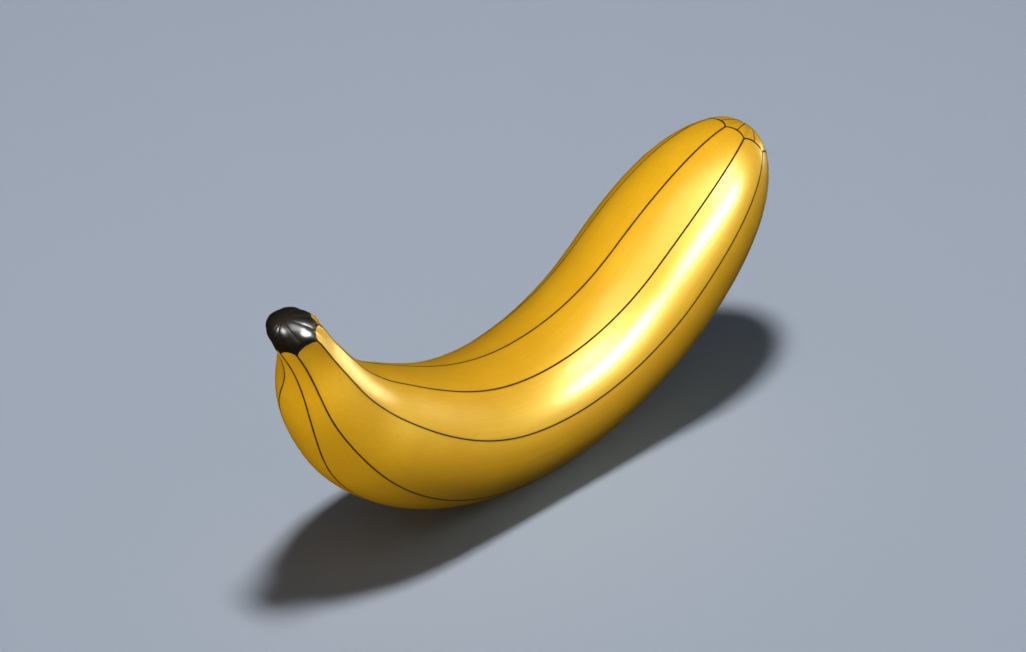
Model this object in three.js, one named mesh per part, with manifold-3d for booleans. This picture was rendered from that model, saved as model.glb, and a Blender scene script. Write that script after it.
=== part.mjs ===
// A ripe banana resting on its outer curve: one solid fruit that runs from a narrow fluted neck with a
// dried stem tip to a full body and a blunt scalloped end, with eight soft edges along its length.
// Millimetres, +Z up, +X from the stem to the blunt end, origin on the ground under the box's centre.
import * as THREE from 'three';
import { mergeVertices } from 'three/addons/utils/BufferGeometryUtils.js';
import Module from 'manifold-3d';

// Centre line in the upright plane x, z: a straight neck, one round bend and a straight tail.
const NECK_STRAIGHT = 24;
const NECK_SLOPE = 66.4;
const BEND_RADIUS = 76;
const TAIL_SLOPE = 38.3;
const TAIL_STRAIGHT = 46;

// How far the neck leans from that line towards the inside of the bend, at distances from the stem tip.
const NECK_LEAN = [[0, -1.6], [8, 0], [18, 0.3], [34, -0.6], [75, 0], [110, 0], [215, 0]];

// Half thickness in that plane at distances from the stem tip, before the two ends are rounded off,
// and how much wider the fruit is across that plane.
const NECK_GIRTH = [[0, 6.8], [8, 6.9], [16, 7.6], [28, 10.8], [42, 13.7], [56, 16.5]];
const BODY_GIRTH = [[75, 17.9], [115, 18], [155, 18.2], [215, 19.8]];
const GIRTH = [...NECK_GIRTH, ...BODY_GIRTH];
const WIDTH_RATIO = [[0, 1.2], [18, 1.17], [50, 1.14], [215, 1.14]];
const STEM_ROUNDING = { length: 9, power: 2.3 };
const BLUNT_ROUNDING = { length: 54, power: 2.2 };

// The eight edges: angle of each round the section, where 90 degrees is the inside of the bend and
// 0 degrees faces -Y, how far the whole set turns at distances from the stem tip, and how far the last
// two edges, on the outside of the neck, swing on their own.
const EDGE_ANGLES = [202, 136, 96, 61, 20, -38, -77, -110];
const TURN = [[0, -16], [40, 5], [100, 0], [215, -13]];
const SWING = {
  6: [[0, -4], [24, 14], [48, -4], [70, 0], [215, 0]],
  7: [[0, 26], [16, 20], [30, -8], [60, 0], [215, 0]],
};
const SIDES = EDGE_ANGLES.length;

// How hollow the sides between the edges are at the two ends: 0 is round, 1 flat and more is hollow.
// The hollows run out over the domes that close the ends.
const NECK_HOLLOW = 1.7;
const NECK_HOLLOW_LENGTH = 55;
const BLUNT_HOLLOW = 0.4;
const BLUNT_HOLLOW_LENGTH = 24;
const DOME_LENGTH = 8;

// Depth of the flat that the belly rests on.
const REST_DEPTH = 0.8;

const STATIONS = 46;
const COLUMNS_PER_SIDE = 6;
const COLUMNS = SIDES * COLUMNS_PER_SIDE;

const bendStart = THREE.MathUtils.degToRad(-90 - NECK_SLOPE);
const bendEnd = THREE.MathUtils.degToRad(-90 + TAIL_SLOPE);
const bend = new THREE.ArcCurve(0, 0, BEND_RADIUS, bendStart, bendEnd);
const neckBase = bend.getPoint(0);
const tailBase = bend.getPoint(1);
const stemTip = neckBase.clone().addScaledVector(bend.getTangent(0), -NECK_STRAIGHT);
const bluntTip = tailBase.clone().addScaledVector(bend.getTangent(1), TAIL_STRAIGHT);
const centreLine = new THREE.CurvePath();
centreLine.add(new THREE.LineCurve(stemTip, neckBase));
centreLine.add(bend);
centreLine.add(new THREE.LineCurve(tailBase, bluntTip));
const LENGTH = centreLine.getLength();

// Smooth curve through [place, value] pairs with uneven spacing.
function smoothThrough(pairs, place) {
  const slope = (i) => {
    const before = pairs[Math.max(i - 1, 0)];
    const after = pairs[Math.min(i + 1, pairs.length - 1)];
    return (after[1] - before[1]) / (after[0] - before[0]);
  };
  const last = pairs.length - 2;
  const i = Math.min(Math.max(pairs.findIndex((pair) => pair[0] > place) - 1, 0), last);
  const span = pairs[i + 1][0] - pairs[i][0];
  const t = (place - pairs[i][0]) / span;
  const start = (1 + 2 * t) * (1 - t) ** 2 * pairs[i][1] + t * (1 - t) ** 2 * span * slope(i);
  return start + t * t * (3 - 2 * t) * pairs[i + 1][1] + t * t * (t - 1) * span * slope(i + 1);
}

function rounding(distance, { length, power }) {
  const left = Math.max(1 - distance / length, 0);
  return Math.max(1 - left ** power, 0) ** (1 / power);
}

function halfThickness(place) {
  const stemEnd = rounding(place, STEM_ROUNDING);
  const bluntEnd = rounding(LENGTH - place, BLUNT_ROUNDING);
  return smoothThrough(GIRTH, place) * stemEnd * bluntEnd;
}

function hollow(place) {
  const fade = (distance, length) => Math.max(1 - distance / length, 0) ** 2;
  const left = LENGTH - place;
  const neck = NECK_HOLLOW * fade(place, NECK_HOLLOW_LENGTH);
  const blunt = BLUNT_HOLLOW * fade(left, BLUNT_HOLLOW_LENGTH);
  const runOut = Math.min(place / DOME_LENGTH, left / DOME_LENGTH, 1);
  return runOut * (neck + blunt);
}

function edgeAngle(edge, place) {
  const swing = SWING[edge] ? smoothThrough(SWING[edge], place) : 0;
  return THREE.MathUtils.degToRad(EDGE_ANGLES[edge] + smoothThrough(TURN, place) + swing);
}

// Place on the skin at a distance from the stem tip and a share of the way across one of the sides.
function onSkin(place, side, share) {
  const first = edgeAngle(side, place);
  const lap = side === SIDES - 1 ? 2 * Math.PI : 0;
  const span = edgeAngle((side + 1) % SIDES, place) - lap - first;
  const flat = Math.cos(span / 2) / Math.cos(span * (share - 0.5));
  const reach = halfThickness(place) * (1 - hollow(place) * (1 - flat));
  const angle = first + span * share;
  const inward = reach * Math.sin(angle) + smoothThrough(NECK_LEAN, place);
  const sideways = -reach * smoothThrough(WIDTH_RATIO, place) * Math.cos(angle);
  const centre = centreLine.getPoint(place / LENGTH);
  const along = centreLine.getTangent(place / LENGTH);
  return new THREE.Vector3(centre.x - inward * along.y, sideways, centre.y + inward * along.x);
}

// Turns a lathed spindle along the fruit's length into the bent fruit, one column per line of vertices.
function fruitGeometry() {
  const profile = [];
  for (let i = 0; i <= STATIONS; i += 1) {
    const place = LENGTH * (1 - Math.cos((Math.PI * i) / STATIONS)) / 2;
    const end = i === 0 || i === STATIONS;
    profile.push(new THREE.Vector2(end ? 0 : 1, place));
  }
  const geometry = new THREE.LatheGeometry(profile, COLUMNS);
  const position = geometry.attributes.position;
  for (let i = 0; i < position.count; i += 1) {
    const column = Math.floor(i / profile.length) % COLUMNS;
    const side = Math.floor(column / COLUMNS_PER_SIDE);
    const share = (column % COLUMNS_PER_SIDE) / COLUMNS_PER_SIDE;
    const place = profile[i % profile.length].y;
    position.setXYZ(i, ...onSkin(place, side, share));
  }
  return closedMesh(geometry);
}

// Position only, with shared vertices merged and without the triangles that shrink to a line at a tip.
function closedMesh(geometry) {
  geometry.deleteAttribute('normal');
  geometry.deleteAttribute('uv');
  const merged = mergeVertices(geometry);
  const corners = merged.index.array;
  const kept = [];
  for (let i = 0; i < corners.length; i += 3) {
    const triangle = [...corners.slice(i, i + 3)];
    if (new Set(triangle).size === 3) kept.push(...triangle);
  }
  merged.setIndex(kept);
  return merged;
}

const wasm = await Module();
wasm.setup();

function toSolid(geometry) {
  const vertProperties = new Float32Array(geometry.attributes.position.array);
  const triVerts = new Uint32Array(geometry.index.array);
  return new wasm.Manifold(new wasm.Mesh({ numProp: 3, vertProperties, triVerts }));
}

// Cuts the belly's flat and puts the origin on it, under the centre of the fruit's box.
function restingFruit(geometry) {
  geometry.computeBoundingBox();
  const size = geometry.boundingBox.getSize(new THREE.Vector3());
  const middle = geometry.boundingBox.getCenter(new THREE.Vector3());
  const floor = geometry.boundingBox.min.z + REST_DEPTH;
  const below = new THREE.BoxGeometry(2 * size.x, 2 * size.y, size.z);
  below.translate(middle.x, middle.y, floor - size.z / 2);
  const mesh = toSolid(geometry).subtract(toSolid(closedMesh(below))).getMesh();
  const rested = new THREE.BufferGeometry();
  rested.setAttribute('position', new THREE.BufferAttribute(mesh.vertProperties, 3));
  rested.setIndex(new THREE.BufferAttribute(mesh.triVerts, 1));
  rested.translate(-middle.x, -middle.y, -floor);
  rested.computeVertexNormals();
  return rested;
}

const peel = new THREE.MeshStandardMaterial({ color: 0xf0b020, roughness: 0.35, metalness: 0 });
const banana = new THREE.Mesh(restingFruit(fruitGeometry()), peel);
banana.name = 'banana';

const part = new THREE.Group();
part.add(banana);

export default part;
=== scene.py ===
import math

import bmesh
import bpy
from mathutils import Matrix, Vector


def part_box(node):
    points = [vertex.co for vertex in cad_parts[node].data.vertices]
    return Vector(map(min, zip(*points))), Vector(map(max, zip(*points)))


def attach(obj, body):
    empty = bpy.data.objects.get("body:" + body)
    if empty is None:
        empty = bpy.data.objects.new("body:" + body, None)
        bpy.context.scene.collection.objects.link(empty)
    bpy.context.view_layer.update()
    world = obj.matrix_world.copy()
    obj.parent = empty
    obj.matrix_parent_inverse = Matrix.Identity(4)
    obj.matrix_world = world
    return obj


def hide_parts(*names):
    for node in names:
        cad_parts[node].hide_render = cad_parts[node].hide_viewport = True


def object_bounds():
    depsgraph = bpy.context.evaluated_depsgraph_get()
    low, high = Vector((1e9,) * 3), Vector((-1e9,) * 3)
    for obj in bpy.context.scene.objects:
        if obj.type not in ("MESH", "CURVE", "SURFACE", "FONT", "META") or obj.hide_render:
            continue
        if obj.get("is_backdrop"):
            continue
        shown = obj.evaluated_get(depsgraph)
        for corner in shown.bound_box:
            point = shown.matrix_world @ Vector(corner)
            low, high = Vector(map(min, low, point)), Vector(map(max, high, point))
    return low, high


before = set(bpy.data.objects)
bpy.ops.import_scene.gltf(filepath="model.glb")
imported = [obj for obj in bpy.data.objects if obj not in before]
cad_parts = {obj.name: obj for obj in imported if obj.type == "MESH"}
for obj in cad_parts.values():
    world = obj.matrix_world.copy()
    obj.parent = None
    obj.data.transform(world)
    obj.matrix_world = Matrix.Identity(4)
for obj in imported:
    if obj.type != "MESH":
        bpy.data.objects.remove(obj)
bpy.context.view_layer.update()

# The fruit's shape
# A banana grows as one piece: a narrow fluted neck, a full bent body and a blunt end. Its eight sides meet
# in soft edges along its length, and both ends close in a small dome of eight lobes. Sizes are in mm.
MM = 0.001
NECK_STRAIGHT = 24
NECK_SLOPE = math.radians(66.4)
BEND_RADIUS = 76
TAIL_SLOPE = math.radians(38.3)
TAIL_STRAIGHT = 46
BEND_LENGTH = BEND_RADIUS * (NECK_SLOPE + TAIL_SLOPE)
LENGTH = NECK_STRAIGHT + BEND_LENGTH + TAIL_STRAIGHT
NECK_GIRTH = [(0, 6.8), (8, 6.9), (16, 7.6), (28, 10.8), (42, 13.7), (56, 16.5)]
BODY_GIRTH = [(75, 17.9), (115, 18), (155, 18.2), (215, 19.8)]
GIRTH = NECK_GIRTH + BODY_GIRTH
NECK_LEAN = [(0, -1.6), (8, 0), (18, 0.3), (34, -0.6), (75, 0), (110, 0), (215, 0)]
WIDTH_RATIO = [(0, 1.2), (18, 1.17), (50, 1.14), (215, 1.14)]
STEM_ROUNDING = (9, 2.3)
BLUNT_ROUNDING = (54, 2.2)
SKIN_INSET = 0.1

# Edges by their angle round the section, in degrees: 90 is the inside of the bend and 0 faces -Y. The whole
# set turns a little along the fruit, and the last two swing on their own at the neck.
EDGE_ANGLES = [202, 136, 96, 61, 20, -38, -77, -110]
TURN = [(0, -16), (40, 5), (100, 0), (215, -13)]
EDGE_SWINGS = {
    6: [(0, -4), (24, 14), (48, -4), (70, 0), (215, 0)],
    7: [(0, 26), (16, 20), (30, -8), (60, 0), (215, 0)],
}
SIDES = len(EDGE_ANGLES)

# Hollows of the sides at the two ends, where 1 is flat, and the scalloped rims of the two end domes.
NECK_HOLLOW = 1.7
NECK_HOLLOW_LENGTH = 55
BLUNT_HOLLOW = 0.4
BLUNT_HOLLOW_LENGTH = 24
STEM_RIM = 6.9
STEM_TILT = 1.5
BLUNT_RIM = LENGTH - 4.5
STEM_SCALLOP = 1.7
BLUNT_SCALLOP = 1.3
SCALLOP_FADE = 7
LOBE_DEPTH = 0.05
LOBE_BLEND = 3
LINE_WIDTH = 0.4
WIDEST_LINE = 0.12


def smooth_through(pairs, place):
    """Value at a place on a smooth curve through (place, value) pairs."""
    last = len(pairs) - 1
    start = max(i for i in range(last) if i == 0 or pairs[i][0] <= place)

    def slope(i):
        before, after = pairs[max(i - 1, 0)], pairs[min(i + 1, last)]
        return (after[1] - before[1]) / (after[0] - before[0])

    (low, first), (high, second) = pairs[start], pairs[start + 1]
    span = high - low
    t = (place - low) / span
    leaving = (1 + 2 * t) * (1 - t) ** 2 * first + t * (1 - t) ** 2 * span * slope(start)
    return leaving + t * t * (3 - 2 * t) * second + t * t * (t - 1) * span * slope(start + 1)


def fade(distance, length):
    """1 at no distance, falling smoothly to 0 at the length."""
    return max(1 - distance / length, 0) ** 2


def rounding(distance, end):
    length, power = end
    left = max(1 - distance / length, 0)
    return max(1 - left ** power, 0) ** (1 / power)


def half_thickness(place):
    full = smooth_through(GIRTH, place) - SKIN_INSET
    return full * rounding(place, STEM_ROUNDING) * rounding(LENGTH - place, BLUNT_ROUNDING)


def centre_line(place):
    """Centre, direction along the fruit and direction to the inside of the bend."""
    on_bend = min(max(place - NECK_STRAIGHT, 0), BEND_LENGTH)
    heading = on_bend / BEND_RADIUS - NECK_SLOPE
    along = Vector((math.cos(heading), 0, math.sin(heading)))
    inward = Vector((-math.sin(heading), 0, math.cos(heading)))
    straight = place - NECK_STRAIGHT - on_bend
    lean = smooth_through(NECK_LEAN, place)
    return along * straight - inward * (BEND_RADIUS - lean), inward


def edge_angle(edge, place):
    swing = smooth_through(EDGE_SWINGS[edge], place) if edge in EDGE_SWINGS else 0
    return math.radians(EDGE_ANGLES[edge] + smooth_through(TURN, place) + swing)


def side_span(side, place):
    """Angle of a side's first edge, and the angle it spans."""
    first = edge_angle(side, place)
    second = edge_angle((side + 1) % SIDES, place)
    return first, second - first - (math.tau if side == SIDES - 1 else 0)


def in_dome(place):
    """0 along the fruit, rising to 1 inside the small dome at either end."""
    past = max(STEM_RIM - place, place - BLUNT_RIM - BLUNT_SCALLOP)
    return min(max(past / LOBE_BLEND, 0), 1)


def reach(place, side, share):
    """Distance from the centre line, where share runs from 0 to 1 between a side's two edges."""
    half_span = abs(side_span(side, place)[1]) / 2
    flat = math.cos(half_span) / math.cos(half_span * (2 * share - 1))
    neck = NECK_HOLLOW * fade(place, NECK_HOLLOW_LENGTH)
    blunt = BLUNT_HOLLOW * fade(LENGTH - place, BLUNT_HOLLOW_LENGTH)
    fluted = 1 - (neck + blunt) * (1 - flat)
    from_edge = 1 - abs(2 * share - 1)
    lobed = 1 - LOBE_DEPTH * from_edge ** 2
    dome = in_dome(place)
    return half_thickness(place) * (fluted + (lobed - fluted) * dome)


def section(place, side, share):
    """Place in the fruit's section: towards the inside of the bend, and sideways."""
    first, span = side_span(side, place)
    angle = first + span * share
    distance = reach(place, side, share)
    return distance * math.sin(angle), -distance * smooth_through(WIDTH_RATIO, place) * math.cos(angle)


def on_skin(place, side, share):
    centre, inward = centre_line(place)
    deep, sideways = section(place, side, share)
    return centre + inward * deep + Vector((0, sideways, 0))


# The fruit's skin
# The peel is one closed skin. It is drawn as a globe with its poles at the two tips, whose meridians follow
# the eight sides. Narrow strips between meridians carry the dried lines along the edges.
HALF_COLUMNS = 8
SIDE_COLUMNS = 2 * HALF_COLUMNS
COLUMNS = SIDE_COLUMNS * SIDES
STEM_ROWS = 14
BODY_ROWS = 130
BLUNT_ROWS = 12
STEM_RIM_ROW = STEM_ROWS
BLUNT_RIM_ROW = STEM_RIM_ROW + 1 + BODY_ROWS
ROWS = BLUNT_RIM_ROW + 1 + BLUNT_ROWS
PEEL, STEM, LINE = range(3)


def station(row):
    """Distance from the stem tip of a row's place on the edges."""
    half_line = LINE_WIDTH / 2
    if row <= STEM_ROWS:
        return (STEM_RIM - half_line) * (1 - math.cos(math.pi / 2 * row / STEM_ROWS))
    body_row = row - STEM_ROWS - 1
    if body_row <= BODY_ROWS:
        low, high = STEM_RIM + half_line, BLUNT_RIM - half_line
        return low + (high - low) * body_row / BODY_ROWS
    left = (ROWS - row) / BLUNT_ROWS
    return LENGTH - (LENGTH - BLUNT_RIM - half_line) * (1 - math.cos(math.pi / 2 * left))


def scalloped(at_edge, side, share):
    """Rows swing towards the tips between the edges. The stem's rim is nearer its tip inside the bend."""
    swing = math.sqrt(1 - (2 * share - 1) ** 2)
    first, span = side_span(side, at_edge)
    tilt = STEM_TILT * math.sin(first + span * share)
    stem = at_edge / STEM_RIM if at_edge < STEM_RIM else fade(at_edge - STEM_RIM, SCALLOP_FADE)
    left, rim = LENGTH - at_edge, LENGTH - BLUNT_RIM
    blunt = left / rim if left < rim else fade(left - rim, SCALLOP_FADE)
    return at_edge - (STEM_SCALLOP * swing + tilt) * stem + BLUNT_SCALLOP * blunt * swing


def column_share(column, at_edge, side):
    """Share of the way across a side. The first and last columns stand half a line from the edges."""
    width = abs(side_span(side, at_edge)[1]) * half_thickness(at_edge)
    half_line = min(LINE_WIDTH / 2 / width, WIDEST_LINE) if width else WIDEST_LINE
    even = (0.5 - half_line) / HALF_COLUMNS / 2
    crease = half_line + (even - half_line) * (1 - in_dome(at_edge))
    step = min(column, SIDE_COLUMNS - 1 - column)
    share = half_line + (0.5 - crease - half_line) * step / (HALF_COLUMNS - 1)
    return share if column < HALF_COLUMNS else 1 - share


skin = bmesh.new()
bmesh.ops.create_uvsphere(skin, u_segments=COLUMNS, v_segments=ROWS, radius=1)
straight_layer = skin.verts.layers.float_vector.new("straight")
edge_layer = skin.verts.layers.float.new("from_edge")
grid = {}
for vert in skin.verts:
    row = round(math.acos(max(-1, min(1, vert.co.z))) / math.pi * ROWS)
    column = round(math.atan2(vert.co.y, vert.co.x) / math.tau * COLUMNS) % COLUMNS
    grid[vert] = row, column
for vert, (row, column) in grid.items():
    side, in_side = divmod(column, SIDE_COLUMNS)
    at_edge = station(row)
    share = column_share(in_side, at_edge, side)
    place = scalloped(at_edge, side, share)
    vert.co = on_skin(place, side, share) * MM
    deep, sideways = section(place, side, share)
    vert[straight_layer] = Vector((sideways, deep, place)) * MM
    width = abs(side_span(side, place)[1]) * half_thickness(place)
    vert[edge_layer] = min(share, 1 - share) * width * MM

for face in skin.faces:
    rows, columns = zip(*(grid[vert] for vert in face.verts if 0 < grid[vert][0] < ROWS))
    row = min(rows) if len(rows) == 4 else (0 if rows[0] == 1 else ROWS - 1)
    column = max(columns) if 0 in columns and COLUMNS - 1 in columns else min(columns)
    between_sides = column % SIDE_COLUMNS == SIDE_COLUMNS - 1
    mid_side = column % SIDE_COLUMNS == HALF_COLUMNS - 1
    dome = row < STEM_RIM_ROW or row > BLUNT_RIM_ROW
    rim = row in (STEM_RIM_ROW, BLUNT_RIM_ROW)
    lined = rim or (mid_side if dome else between_sides)
    face.material_index = LINE if lined else STEM if row < STEM_RIM_ROW else PEEL
    face.smooth = True
if skin.calc_volume(signed=True) < 0:
    bmesh.ops.reverse_faces(skin, faces=skin.faces)

# The fruit stands on its belly inside the frame's solid, and the peel gives a little where it lies.
node_low, node_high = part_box("banana")
low = Vector(min(vert.co[i] for vert in skin.verts) for i in range(3))
high = Vector(max(vert.co[i] for vert in skin.verts) for i in range(3))
middle, node_middle = (low + high) / 2, (node_low + node_high) / 2
top_gap = SKIN_INSET * MM
shift = Vector((node_middle.x - middle.x, node_middle.y - middle.y, node_high.z - top_gap - high.z))
bmesh.ops.translate(skin, verts=skin.verts, vec=shift)
for vert in skin.verts:
    vert.co.z = max(vert.co.z, node_low.z)

banana_mesh = bpy.data.meshes.new("banana_skin")
skin.to_mesh(banana_mesh)
skin.free()
banana = bpy.data.objects.new("banana_skin", banana_mesh)
bpy.context.scene.collection.objects.link(banana)
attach(banana, "root")
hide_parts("banana")


# The peel's finish
# Ripe banana peel: a thin waxy skin over fibres that run along the fruit. It shows a golden yellow with
# faint lengthwise streaks and patches, brown close to the edges, and a broad gold shine with a pale core.
def linear(code):
    """Linear colour of an sRGB hex value."""
    shares = [int(code[i:i + 2], 16) / 255 for i in (1, 3, 5)]
    return [s / 12.92 if s <= 0.04045 else ((s + 0.055) / 1.055) ** 2.4 for s in shares] + [1]


def add(tree, kind, inputs=None, **settings):
    """Adds a node with its settings, and fills each input with a value or with another node's output."""
    made = tree.nodes.new(kind)
    for name, value in settings.items():
        setattr(made, name, value)
    for name, value in (inputs or {}).items():
        if isinstance(value, bpy.types.NodeSocket):
            tree.links.new(value, made.inputs[name])
        else:
            made.inputs[name].default_value = value
    return made


def new_material(name):
    made = bpy.data.materials.new(name)
    made.use_nodes = True
    made.node_tree.nodes.clear()
    return made, made.node_tree


PEEL_GOLD = linear("#E9AE18")
PEEL_DEEP = linear("#E2A414")
EDGE_BROWN = linear("#8A5A10")
SHINE_GOLD = (1, 0.9, 0.22, 1)

# Peel fibres are about half a millimetre wide and 30 mm long, patches are about 14 mm across, and the brown
# of an edge spreads less than a millimetre into the peel.
FIBRE_WIDTH = 0.5 * MM
FIBRE_LENGTH = 30 * MM
FIBRE_HEIGHT = 0.1 * MM
FIBRE_RELIEF = 0.02
PATCH_SIZE = 14 * MM
MOTTLE_LOW, MOTTLE_HIGH = 0.15, 0.4
STAIN_WIDTH = 0.7 * MM
STAIN_DEPTH = 0.3

peel, tree = new_material("waxy_banana_peel")
straight = add(tree, "ShaderNodeAttribute", attribute_name="straight").outputs["Vector"]
from_edge = add(tree, "ShaderNodeAttribute", attribute_name="from_edge").outputs["Fac"]
stretch = (1 / FIBRE_WIDTH, 1 / FIBRE_WIDTH, 1 / FIBRE_LENGTH)
along = add(tree, "ShaderNodeMapping", {"Vector": straight, "Scale": stretch}).outputs[0]
fibres = add(tree, "ShaderNodeTexNoise", {"Vector": along, "Scale": 1, "Detail": 3}).outputs["Fac"]
per_patch = {"Vector": straight, "Scale": 1 / PATCH_SIZE, "Detail": 4}
patches = add(tree, "ShaderNodeTexNoise", per_patch).outputs["Fac"]
mottle = add(tree, "ShaderNodeMath", {0: fibres, 1: patches}, operation="MULTIPLY").outputs[0]
spread = {"Value": mottle, "From Min": MOTTLE_LOW, "From Max": MOTTLE_HIGH}
tone = add(tree, "ShaderNodeMapRange", spread).outputs[0]
gold = add(tree, "ShaderNodeMix", {0: tone, 6: PEEL_DEEP, 7: PEEL_GOLD}, data_type="RGBA").outputs[2]
near_edge = {"Value": from_edge, "From Max": STAIN_WIDTH, "To Min": STAIN_DEPTH, "To Max": 0}
stain = add(tree, "ShaderNodeMapRange", near_edge).outputs[0]
stained = add(tree, "ShaderNodeMix", {0: stain, 6: gold, 7: EDGE_BROWN}, data_type="RGBA").outputs[2]
ribbed = {"Height": fibres, "Strength": FIBRE_RELIEF, "Distance": FIBRE_HEIGHT}
bump = add(tree, "ShaderNodeBump", ribbed).outputs[0]
waxy = add(tree, "ShaderNodeBsdfPrincipled", {
    "Base Color": stained, "Roughness": 0.42, "IOR": 1.45, "Specular IOR Level": 0.8,
    "Specular Tint": SHINE_GOLD, "Coat Weight": 0.4, "Coat Roughness": 0.22, "Coat IOR": 1.45,
    "Normal": bump, "Coat Normal": bump,
})
add(tree, "ShaderNodeOutputMaterial", {"Surface": waxy.outputs[0]})
banana_mesh.materials.append(peel)

# The stem tip's finish
# The end of the stem, dried and shrunk to a hard dark cap on the neck. Drying leaves it near black with a
# little brown, fine lengthwise wrinkles and a soft gloss.
TIP_BLACK = linear("#14120E")
TIP_BROWN = linear("#2B2218")

# The wrinkles are a little under half a millimetre wide and nearly as long as the tip.
WRINKLE_WIDTH = 0.4 * MM
WRINKLE_LENGTH = 6 * MM
WRINKLE_HEIGHT = 0.1 * MM
WRINKLE_RELIEF = 0.1
BROWN_LOW, BROWN_HIGH = 0.4, 0.8

stem, tree = new_material("dried_stem_tip")
straight = add(tree, "ShaderNodeAttribute", attribute_name="straight").outputs["Vector"]
stretch = (1 / WRINKLE_WIDTH, 1 / WRINKLE_WIDTH, 1 / WRINKLE_LENGTH)
along = add(tree, "ShaderNodeMapping", {"Vector": straight, "Scale": stretch}).outputs[0]
wrinkles = add(tree, "ShaderNodeTexNoise", {"Vector": along, "Scale": 1, "Detail": 2}).outputs["Fac"]
spread = {"Value": wrinkles, "From Min": BROWN_LOW, "From Max": BROWN_HIGH}
browned = add(tree, "ShaderNodeMapRange", spread).outputs[0]
tanned = add(tree, "ShaderNodeMix", {0: browned, 6: TIP_BLACK, 7: TIP_BROWN}, data_type="RGBA").outputs[2]
shrunk = {"Height": wrinkles, "Strength": WRINKLE_RELIEF, "Distance": WRINKLE_HEIGHT}
bump = add(tree, "ShaderNodeBump", shrunk).outputs[0]
dried = add(tree, "ShaderNodeBsdfPrincipled", {
    "Base Color": tanned, "Roughness": 0.3, "IOR": 1.45, "Specular IOR Level": 1, "Normal": bump,
})
add(tree, "ShaderNodeOutputMaterial", {"Surface": dried.outputs[0]})
banana_mesh.materials.append(stem)

# The edge lines' finish
# Dried peel along the edges and round both rims: a hairline that has gone dark brown and dull, here and
# there a little paler along its run.
LINE_DARK = linear("#120C04")
LINE_BROWN = linear("#2A1B08")

# The line's tone changes about every 5 mm.
LINE_RUN = 5 * MM

line, tree = new_material("dried_edge_line")
straight = add(tree, "ShaderNodeAttribute", attribute_name="straight").outputs["Vector"]
runs = add(tree, "ShaderNodeTexNoise", {"Vector": straight, "Scale": 1 / LINE_RUN}).outputs["Fac"]
uneven = add(tree, "ShaderNodeMix", {0: runs, 6: LINE_DARK, 7: LINE_BROWN}, data_type="RGBA").outputs[2]
dull = add(tree, "ShaderNodeBsdfPrincipled", {
    "Base Color": uneven, "Roughness": 0.8, "IOR": 1.45, "Specular IOR Level": 0.1,
})
add(tree, "ShaderNodeOutputMaterial", {"Surface": dull.outputs[0]})
banana_mesh.materials.append(line)

# The floor
# A plain pale studio floor of matte painted board, far wider than the view.
FLOOR_HALF = 3.0
FLOOR_PALE = linear("#AEB8C6")
board = bmesh.new()
bmesh.ops.create_grid(board, x_segments=1, y_segments=1, size=FLOOR_HALF)
floor_mesh = bpy.data.meshes.new("studio_floor")
board.to_mesh(floor_mesh)
board.free()
floor = bpy.data.objects.new("studio_floor", floor_mesh)
bpy.context.scene.collection.objects.link(floor)
floor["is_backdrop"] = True
paint, tree = new_material("matte_floor_paint")
matte = add(tree, "ShaderNodeBsdfPrincipled", {
    "Base Color": FLOOR_PALE, "Roughness": 0.9, "Specular IOR Level": 0,
})
add(tree, "ShaderNodeOutputMaterial", {"Surface": matte.outputs[0]})
floor_mesh.materials.append(paint)

# The board's grey stays out of the fruit's shade and shine.
floor.visible_diffuse = False
floor.visible_glossy = False

# The studio
# A small soft box overhead lights the floor and lays the fruit's shadow under it. A key high in front and a
# low fill on the left light the fruit, and the others show only as shine in its wax. The room is dim.
HEART = Vector((0, 0, node_middle.z))
BOX_DISTANCE = 1
ROOM_GREY = linear("#A9B4C4")
ROOM_STRENGTH = 0.16
NECK_GOLD = linear("#FFFAC4")


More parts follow.
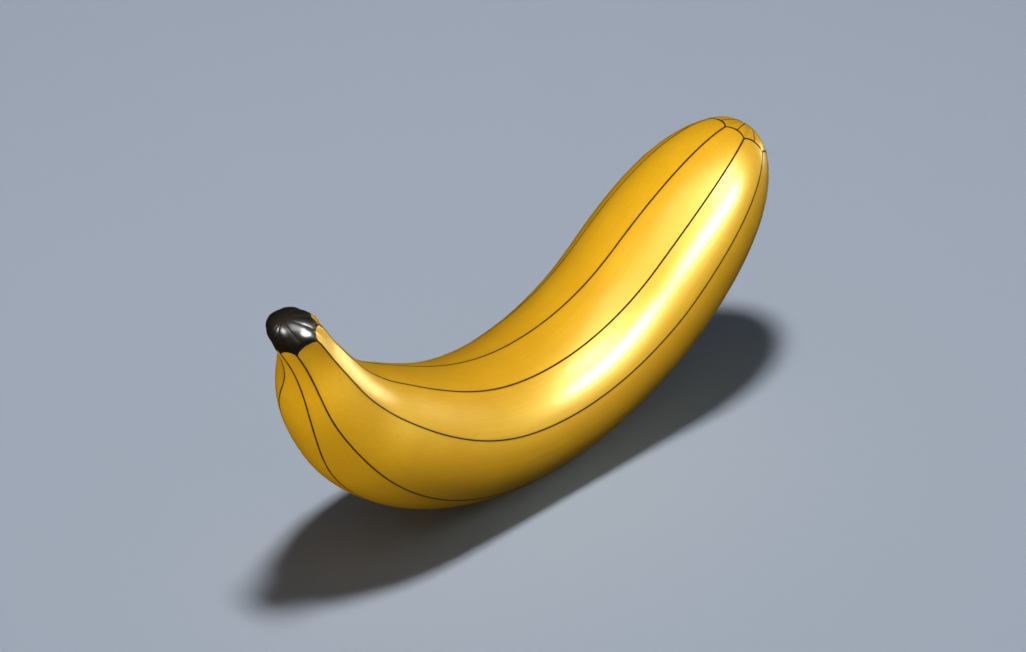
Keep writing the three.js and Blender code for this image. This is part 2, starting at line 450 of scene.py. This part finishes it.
def soft_box(name, azimuth, elevation, size, watts, lit=None):
    """A soft box with its angles in degrees from +X and from level, and its width and height in metres.

    It lights one object, and without one it only shows as shine.
    """
    lamp = bpy.data.lights.new(name, "AREA")
    lamp.shape = "RECTANGLE"
    lamp.size, lamp.size_y = size
    lamp.energy = watts
    holder = bpy.data.objects.new(name, lamp)
    holder.visible_diffuse = lit is not None
    holder.visible_glossy = lit is None
    if lit is not None:
        holder.light_linking.receiver_collection = bpy.data.collections.new(name + "_lights")
        holder.light_linking.receiver_collection.objects.link(lit)
    turn = Matrix.Rotation(math.radians(azimuth), 4, "Z")
    tilt = Matrix.Rotation(math.radians(90 - elevation), 4, "Y")
    out = Matrix.Translation((0, 0, BOX_DISTANCE))
    holder.matrix_world = Matrix.Translation(HEART) @ turn @ tilt @ out
    bpy.context.scene.collection.objects.link(holder)
    return holder


soft_box("overhead", 0, 90, (0.15, 0.15), 8.2, lit=floor)
soft_box("key", -76, 64, (0.5, 0.5), 8.8, lit=banana)
soft_box("fill", 184, 21, (0.5, 0.5), 8, lit=banana)
soft_box("shine", -78, 31, (0.28, 0.75), 42)
soft_box("top_shine", -65, 52, (0.3, 0.4), 10)
soft_box("broad_shine", -125, 70, (0.7, 0.7), 8)
soft_box("fill_shine", 168, 36, (0.4, 0.4), 8)

# The neck's shine comes from low behind the tail. It casts no shadow, so that nothing there hides it.
neck_shine = soft_box("neck_shine", -2, -6, (0.1, 0.1), 3.4)
neck_shine.data.color = NECK_GOLD[:3]
neck_shine.data.use_shadow = False

world = bpy.data.worlds.new("studio_room")
bpy.context.scene.world = world
world.use_nodes = True
room = world.node_tree.nodes["Background"]
room.inputs["Color"].default_value = ROOM_GREY
room.inputs["Strength"].default_value = ROOM_STRENGTH
world.cycles_visibility.glossy = False
bpy.context.scene.view_settings.view_transform = "Standard"

# The camera
# A level isometric view with no perspective, turned 45 degrees to the fruit's plane, framed as 1026 by 652.
CAMERA_AZIMUTH = math.radians(-45)
CAMERA_ELEVATION = math.atan(1 / math.sqrt(2))
VIEW_WIDTH = 0.2565
CAMERA_DISTANCE = 1.5
AIM_HEIGHT = 0.0414
AIM_SIDE = -0.0001
level = math.cos(CAMERA_ELEVATION)
back = Vector((
    math.sin(CAMERA_AZIMUTH) * level,
    -math.cos(CAMERA_AZIMUTH) * level,
    math.sin(CAMERA_ELEVATION),
))
lens = bpy.data.cameras.new("isometric")
lens.type = "ORTHO"
lens.ortho_scale = VIEW_WIDTH
camera = bpy.data.objects.new("isometric", lens)
camera.location = Vector((AIM_SIDE, -AIM_SIDE, AIM_HEIGHT)) + back * CAMERA_DISTANCE
camera.rotation_euler = back.to_track_quat("Z", "Y").to_euler()
bpy.context.scene.collection.objects.link(camera)
bpy.context.scene.camera = camera

low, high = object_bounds()
